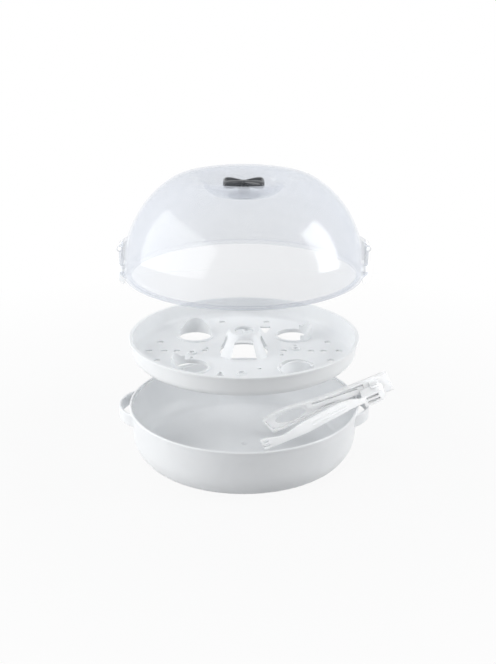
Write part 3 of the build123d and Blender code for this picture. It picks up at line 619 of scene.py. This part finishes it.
def pale_card(looks):
    """The floor's material: a matt card that takes light and shadow, under the same white as the
    room, which takes over from the card with the distance from the object."""
    material = bpy.data.materials.new("pale_floor")
    material.use_nodes = True
    tree = material.node_tree
    card = tree.nodes["Principled BSDF"]
    card.inputs["Base Color"].default_value = (*looks.floor_colour, 1.0)
    card.inputs["Roughness"].default_value = FLOOR_ROUGHNESS
    card.inputs["Specular IOR Level"].default_value = FLOOR_GLOSS
    shine = tree.nodes.new("ShaderNodeEmission")
    shine.inputs["Color"].default_value = (*WHITE, 1.0)
    shine.inputs["Strength"].default_value = 1.0
    coords = tree.nodes.new("ShaderNodeTexCoord")
    distance = tree.nodes.new("ShaderNodeVectorMath")
    distance.operation = "LENGTH"
    link(tree, coords, "Object", distance, 0)
    fade = spread(tree, distance, "Value", *FLOOR_WHITE, *SHADOW_REACH)
    path, seen = seen_rays(tree)
    shown = combine(tree, "MAXIMUM", (seen, "Value"), (path, "Is Glossy Ray"))
    share = combine(tree, "MULTIPLY", (shown, "Value"), (fade, "Result"))
    blend = tree.nodes.new("ShaderNodeMixShader")
    link(tree, share, "Value", blend, "Fac")
    link(tree, card, "BSDF", blend, 1)
    link(tree, shine, "Emission", blend, 2)
    link(tree, blend, "Shader", tree.nodes["Material Output"], "Surface")
    return material


def add_floor(material):
    """A flat grid at z = 0."""
    side = np.linspace(-FLOOR_HALF_SIZE, FLOOR_HALF_SIZE, FLOOR_LINES)
    x, y = np.meshgrid(side, side)
    points = np.stack([x, y, np.zeros_like(x)], axis=2).reshape(-1, 3)
    index = np.arange(len(points)).reshape(x.shape)
    quads = np.stack([index[:-1, :-1], index[:-1, 1:], index[1:, 1:], index[1:, :-1]], axis=2)
    mesh = bpy.data.meshes.new("floor")
    mesh.from_pydata(points.tolist(), [], quads.reshape(-1, 4).tolist())
    mesh.materials.append(material)
    floor = bpy.data.objects.new("floor", mesh)
    bpy.context.scene.collection.objects.link(floor)


def softbox(name, place, width, height, power, mirrored=True):
    """A rectangular light that faces the object, and that glossy surfaces may show."""
    lamp = bpy.data.lights.new(name, "AREA")
    lamp.shape = "RECTANGLE"
    lamp.size = width
    lamp.size_y = height
    lamp.energy = power
    holder = bpy.data.objects.new(name, lamp)
    towards = np.array(LIGHTS_AIM) - np.array(place)
    flat = math.hypot(towards[0], towards[1])
    holder.location = place
    holder.rotation_euler = (math.atan2(flat, -towards[2]), 0, math.atan2(-towards[0], towards[1]))
    holder.visible_glossy = mirrored
    bpy.context.scene.collection.objects.link(holder)
    return holder


def add_lights(looks):
    """A large light on the left and a narrow one on the right, which the lid mirrors, one overhead,
    and one that lights the tongs and clips alone."""
    softbox("key_light", (-1.46, -0.42, 0.70), 2.6, 1.6, looks.key_power)
    softbox("side_light", (1.45, -0.13, 0.66), 0.7, 1.25, looks.side_power)
    softbox("top_light", (0.0, 0.35, 1.60), 1.4, 1.2, looks.top_power, mirrored=False)
    fill = softbox("clear_parts_light", (0.35, -1.30, 0.80), 0.8, 0.8, looks.fill_power, mirrored=False)
    lit = bpy.data.collections.new("clear_parts")
    for name in ("tongs_back_arm", "tongs_front_arm", "tongs_hinge_pin", "right_clip", "left_clip"):
        lit.objects.link(nodes[name])
    fill.light_linking.receiver_collection = lit


def add_camera(looks):
    """The camera at the photograph's place and angle."""
    camera = bpy.data.cameras.new("camera")
    camera.sensor_width = SENSOR_WIDTH
    camera.lens = looks.lens
    camera.clip_end = FAR_CLIP
    holder = bpy.data.objects.new("camera", camera)
    holder.location = (CAMERA_OFFSET, -looks.camera_distance, looks.camera_height)
    holder.rotation_euler = (math.pi / 2 - looks.camera_pitch, 0, 0)
    bpy.context.scene.collection.objects.link(holder)
    bpy.context.scene.camera = holder


# Operators

class STERILIZER_OT_bowl(bpy.types.Operator):
    """Dress the base bowl and add the gate mark in its floor"""
    bl_idname = "sterilizer.bowl"
    bl_label = "Dress bowl"

    def execute(self, context):
        looks = context.scene.sterilizer.bowl
        plastic = moulded_plastic("bowl_plastic", looks, rings=True)
        dress("base_bowl", plastic)
        mark = closed_grid(rings_of_revolution(gate_mark_profile(looks.floor_height), 48))
        add_piece("bowl_gate_mark", [mark], "bowl", plastic)
        return {"FINISHED"}


class STERILIZER_OT_tray(bpy.types.Operator):
    """Dress the steam tray"""
    bl_idname = "sterilizer.tray"
    bl_label = "Dress tray"

    def execute(self, context):
        dress("steam_tray", moulded_plastic("tray_plastic", context.scene.sterilizer.tray, rings=True))
        return {"FINISHED"}


class STERILIZER_OT_lid(bpy.types.Operator):
    """Dress the cloudy lid"""
    bl_idname = "sterilizer.lid"
    bl_label = "Dress lid"

    def execute(self, context):
        dress("lid_dome", clear_plastic("lid_plastic", context.scene.sterilizer.lid))
        return {"FINISHED"}


class STERILIZER_OT_knob(bpy.types.Operator):
    """Build the winged knob with its hub and stem, and dress the shutter below it"""
    bl_idname = "sterilizer.knob"
    bl_label = "Build knob"

    def execute(self, context):
        looks = context.scene.sterilizer.knob
        low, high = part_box("vent_knob")
        plastic = moulded_plastic("knob_plastic", looks)
        shells = [
            closed_grid(knob_wings(low, high, looks.wing, looks.waist, looks.pocket)),
            closed_grid(rings_of_revolution(knob_hub_profile(low[2], high[2]), 64)),
            closed_grid(rings_of_revolution(knob_cap_profile(high[2]), 64)),
        ]
        knob = add_piece("winged_knob", shells, "vent", plastic)
        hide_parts("vent_knob")
        dress("vent_shutter", plastic)
        return {"FINISHED"}


class STERILIZER_OT_clips(bpy.types.Operator):
    """Dress the two side clips"""
    bl_idname = "sterilizer.clips"
    bl_label = "Dress clips"

    def execute(self, context):
        plastic = moulded_plastic("clip_plastic", context.scene.sterilizer.clips)
        dress("right_clip", plastic)
        dress("left_clip", plastic)
        return {"FINISHED"}


class STERILIZER_OT_tongs(bpy.types.Operator):
    """Dress both arms of the tongs and their pin"""
    bl_idname = "sterilizer.tongs"
    bl_label = "Dress tongs"

    def execute(self, context):
        plastic = clear_plastic("tongs_plastic", context.scene.sterilizer.tongs)
        for name in ("tongs_back_arm", "tongs_front_arm", "tongs_hinge_pin"):
            dress(name, plastic)
        return {"FINISHED"}


class STERILIZER_OT_stage(bpy.types.Operator):
    """Add the floor, white surroundings, soft lights and camera"""
    bl_idname = "sterilizer.stage"
    bl_label = "Set up stage"

    def execute(self, context):
        looks = context.scene.sterilizer.stage
        context.scene.view_settings.view_transform = "Standard"
        context.scene.world = white_room(looks)
        add_floor(pale_card(looks))
        add_lights(looks)
        add_camera(looks)
        return {"FINISHED"}


OPERATORS = (
    STERILIZER_OT_bowl,
    STERILIZER_OT_tray,
    STERILIZER_OT_lid,
    STERILIZER_OT_knob,
    STERILIZER_OT_clips,
    STERILIZER_OT_tongs,
    STERILIZER_OT_stage,
)


class STERILIZER_PT_panel(bpy.types.Panel):
    """Lists the operators and their settings"""
    bl_label = "Bottle Sterilizer"
    bl_space_type = "VIEW_3D"
    bl_region_type = "UI"
    bl_category = "Sterilizer"

    def draw(self, context):
        looks = context.scene.sterilizer
        for operator in OPERATORS:
            group = operator.bl_idname.split(".")[1]
            box = self.layout.box()
            box.operator(operator.bl_idname)
            settings = getattr(looks, group)
            for name in settings.bl_rna.properties.keys():
                if name not in ("rna_type", "name"):
                    box.prop(settings, name)


CLASSES = (
    BowlLooks,
    TrayLooks,
    LidLooks,
    KnobLooks,
    ClipLooks,
    TongsLooks,
    StageLooks,
    SterilizerLooks,
    *OPERATORS,
    STERILIZER_PT_panel,
)


def register():
    for cls in CLASSES:
        bpy.utils.register_class(cls)
    bpy.types.Scene.sterilizer = bpy.props.PointerProperty(
        name="Sterilizer", description="Looks of the bottle sterilizer", type=SterilizerLooks
    )


def unregister():
    del bpy.types.Scene.sterilizer
    for cls in reversed(CLASSES):
        bpy.utils.unregister_class(cls)


def main():
    """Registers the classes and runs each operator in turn."""
    register()
    for name in ("bowl", "tray", "lid", "knob", "clips", "tongs", "stage"):
        getattr(bpy.ops.sterilizer, name)()


if __name__ == "__main__":
    main()
